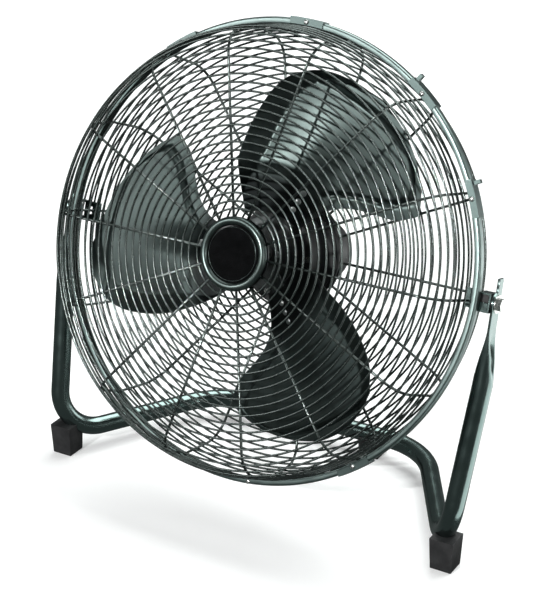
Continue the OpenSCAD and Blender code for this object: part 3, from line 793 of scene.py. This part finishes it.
def make_rivets():
    """Rivets of the three blades and of the hub."""
    parts = []
    for a in BLADE_ANGLES:
        tipped = turned(a) @ Matrix.Rotation(math.radians(ROOT_PITCH), 4, "X")
        parts += [moved(rivet(-3.6, 0.7), tipped @ lifted(r, 0, 0)) for r in RIVET_RADII]
        parts.append(moved(rivet(-6.2, -1.2), turned(a + 60) @ lifted(HUB_RIVET_R, 0, 0)))
    obj = build("blade_rivets_domed", *merge(parts), HEAD)
    shade_by_angle(obj, 40)
    install(obj, "rotor", rivet_metal, "rivet_metal", "blade_rivets")


# ======== Badge and knob ========


def make_badge():
    """Slightly domed black disc with one fine metal ring line, and no mark."""
    base = FACE_H + 0.5
    top = base + BADGE_RISE
    profile = [(0.01, base), (BADGE_R, base), (BADGE_R, top - 0.5), (BADGE_R - 0.5, top - 0.2)]
    profile += [(r, top - 0.05 * (r / 30) ** 2) for r in (RING_LINE_R, 24, 16, 8, 0.01)]
    obj = build("badge_disc_domed", *revolve(profile, 128), HEAD)
    shade_by_angle(obj, 25)
    install(obj, "head", badge_gloss, "badge_gloss", "badge_disc")
    ring = wire_ring(RING_LINE_R, top - 0.1, RING_LINE_WIRE, 128, 8)
    install(build("badge_ring_line", *ring, HEAD), "head", badge_metal, "badge_metal")


def make_knob():
    """Turned knob with a raised grip, a fluted skirt and a pointer line."""
    skirt = []
    steps, flutes = 96, 24
    low = KNOB_R - 0.6
    for r, h, flute in ((low, 3.2, 0), (KNOB_R, 3.8, 0.35), (KNOB_R, 8.2, 0.35), (low - 0.2, 9, 0)):
        ring = []
        for i in range(steps):
            a = TAU * i / steps
            rad = r - flute * (0.5 - 0.5 * math.cos(a * flutes))
            ring.append((rad * math.cos(a), rad * math.sin(a), KNOB_SEAT - h))
        skirt.append(ring)
    end = KNOB_SEAT - KNOB_END
    grip = box(-12.9, 12.9, -GRIP_HALF, GRIP_HALF, end + 0.3, KNOB_SEAT - 8.6)
    knob = build("speed_knob_grip", *merge([loft(skirt), grip]), HEAD)
    shade_by_angle(knob, 30)
    soften(knob, 0.5)
    install(knob, "knob", knob_plastic, "knob_plastic", "speed_knob")
    pointer = box(3.5, 12, -0.6, 0.6, end, end + 0.5)
    line = build("speed_knob_pointer", *pointer, HEAD, smooth=False)
    install(line, "knob", pointer_white, "knob_plastic")


# ======== CAD pieces that stay ========

KEPT = {
    "front_foot_left": (foot_rubber, 1.6), "front_foot_right": (foot_rubber, 1.6),
    "rear_foot_left": (foot_rubber, 1.6), "rear_foot_right": (foot_rubber, 1.6),
    "pivot_bolts": (zinc_steel, 0.4), "pivot_washers": (zinc_steel, 0.2),
    "pivot_spacers": (spacer_plastic, 0.1), "pivot_nuts": (zinc_steel, 0.3),
    "pivot_bracket_left": (frame_paint, 0.6), "pivot_bracket_right": (frame_paint, 0.6),
    "rim_clips": (clip_paint_shaded, 0.5), "badge_bezel": (badge_metal, 0),
    "badge_plate": (dark_steel, 0.2), "badge_clamp": (dark_steel, 0.2),
    "badge_screw": (zinc_steel, 0.3), "motor_plate": (motor_paint, 0.3),
    "plate_screws": (zinc_steel, 0.3), "front_bell": (motor_paint, 0.8),
    "rear_bell": (motor_paint, 0.8), "stator_core": (lamination_steel, 0.3),
    "stator_windings": (copper_winding, 0), "motor_bolts": (zinc_steel, 0.3),
    "front_bearing": (bearing_bronze, 0.2), "rear_bearing": (bearing_bronze, 0.2),
    "switch_housing": (housing_plastic, 1.2), "housing_screws": (zinc_steel, 0.3),
    "switch_body": (switch_plastic, 0.4), "switch_nut": (zinc_steel, 0.3),
    "capacitor": (capacitor_plastic, 0.8), "cord_bushing": (bushing_rubber, 0.6),
    "motor_shaft": (shaft_steel, 0.4), "rotor_core": (lamination_steel, 0.3),
    "fan_hub": (hub_aluminium, 0.5), "hub_screw": (dark_steel, 0.2),
    "blade_spider": (dark_steel, 0.4), "switch_spindle": (shaft_steel, 0.3),
}


def keep_nodes():
    """Finishes and softened edges for the CAD pieces that are shown as they are."""
    for name, (material, edge) in KEPT.items():
        node = NODES[name]
        node.data.materials.clear()
        node.data.materials.append(material)
        if edge:
            soften(node, edge)


# ======== Stage ========


FLOOR_R = 14
DOME_R = 16
CARD = ((0.34, -0.12), (1.7, -0.12), (1.7, 1.9), (0.34, 1.9))
CARD_Z = 0.002
GLOW = {"From Min": 1.2, "From Max": 3.6, "To Min": 0.25, "To Max": 0.95}


def stage_piece(name, mesh, n, unseen):
    """Object of the stage, unseen by the named kinds of ray."""
    mesh.materials.append(n.material)
    piece = bpy.data.objects.new(name, mesh)
    bpy.context.scene.collection.objects.link(piece)
    for ray in unseen:
        setattr(piece, "visible_" + ray, False)
    return piece


def make_floor():
    """Pale, faintly glossy table top, which glows more the further it is from the fan."""
    bm = bmesh.new()
    bmesh.ops.create_circle(bm, cap_ends=True, segments=96, radius=FLOOR_R)
    mesh = bpy.data.meshes.new("floor")
    bm.to_mesh(mesh)
    bm.free()
    n = Nodes("floor_white", IOR=1.4, Emission_Color=(1, 1, 1, 1))
    away = n.add("ShaderNodeVectorMath", {0: n.where}, operation="LENGTH").outputs["Value"]
    glow = n.add("ShaderNodeMapRange", {"Value": away, **GLOW}).outputs["Result"]
    n.link(glow, "Emission Strength")
    n.link(n.ramp(n.noise(2, 2), (0.86, 0.86, 0.86), (0.88, 0.88, 0.88)), "Base Color")
    n.link(n.span(n.noise(5, 3), 0.28, 0.36), "Roughness")
    stage_piece("floor", mesh, n, ("glossy",)).location = (0, 0, -0.0005)


def make_dome():
    """White surround that only the camera sees."""
    bm = bmesh.new()
    bmesh.ops.create_uvsphere(bm, u_segments=48, v_segments=24, radius=DOME_R)
    mesh = bpy.data.meshes.new("dome")
    bm.to_mesh(mesh)
    bm.free()
    n = Nodes("dome_white", Emission_Strength=1.0)
    n.link(n.ramp(n.noise(0.2, 1), (0.97, 0.97, 0.97), (1, 1, 1)), "Emission Color")
    stage_piece("dome", mesh, n, ("glossy", "diffuse", "transmission", "shadow"))


def make_card():
    """White card on the floor at the right, seen only in reflections."""
    mesh = bpy.data.meshes.new("card")
    mesh.from_pydata([(x, y, CARD_Z) for x, y in CARD], [], [(0, 1, 2, 3)])
    n = Nodes("card_white", Emission_Strength=0.9)
    n.link(n.ramp(n.noise(0.6, 1), (0.94, 1, 0.98), (1, 1, 1)), "Emission Color")
    stage_piece("card", mesh, n, ("camera", "diffuse", "transmission", "shadow"))


def area_light(name, place, aim, size, power, colour=(1, 1, 1)):
    light = bpy.data.lights.new(name, "AREA")
    light.shape = "RECTANGLE"
    light.size, light.size_y = size
    light.energy = power
    light.color = colour
    obj = bpy.data.objects.new(name, light)
    bpy.context.scene.collection.objects.link(obj)
    obj.location = place
    obj.rotation_euler = (Vector(aim) - Vector(place)).to_track_quat("-Z", "Y").to_euler()


def make_light():
    """Dim room, a small hard key near the fan's axis and large soft lights round it."""
    world = bpy.data.worlds.new("studio")
    world.use_nodes = True
    shade = world.node_tree.nodes["Background"]
    shade.inputs["Color"].default_value = (0.9, 1, 0.98, 1)
    shade.inputs["Strength"].default_value = 0.1
    bpy.context.scene.world = world
    middle = (0, 0, 0.3)
    area_light("key", (-0.35, -3.2, 1.75), middle, (0.08, 0.08), 85)
    area_light("overhead", (0.2, 1.3, 2.7), middle, (3.2, 2.4), 110, (0.97, 1, 0.99))
    area_light("strip", (2.4, -0.9, 1.0), middle, (0.3, 1.4), 10)
    area_light("rear_right", (1.9, 2.0, 0.7), middle, (1.4, 1.2), 14)
    area_light("fill", (-1.9, -2.2, 1.7), middle, (0.9, 1.1), 22)
    bpy.context.scene.view_settings.view_transform = "Standard"


AZIMUTH = math.radians(30.3)
ELEVATION = math.radians(24.75)
DISTANCE = 2.0
LENS = 106.7
TARGET = Vector((0.0074, PIVOT_AT.y - 0.0117, 0.2449))


def make_camera():
    """Camera at the front right, a little above the fan."""
    data = bpy.data.cameras.new("camera")
    data.lens = LENS
    data.sensor_width = 36
    data.clip_end = 100
    camera = bpy.data.objects.new("camera", data)
    bpy.context.scene.collection.objects.link(camera)
    out = Vector((math.sin(AZIMUTH), -math.cos(AZIMUTH), 0)) * math.cos(ELEVATION)
    out.z = math.sin(ELEVATION)
    camera.location = TARGET + out * DISTANCE
    camera.rotation_euler = (-out).to_track_quat("-Z", "Y").to_euler()
    bpy.context.scene.camera = camera


make_camera()
make_light()
make_floor()
make_dome()
make_card()
keep_nodes()
make_grilles()
make_rear_loop()
make_band()
make_clip_screws()
make_bracket_faces()
make_stand()
make_blades()
make_rivets()
make_badge()
make_knob()
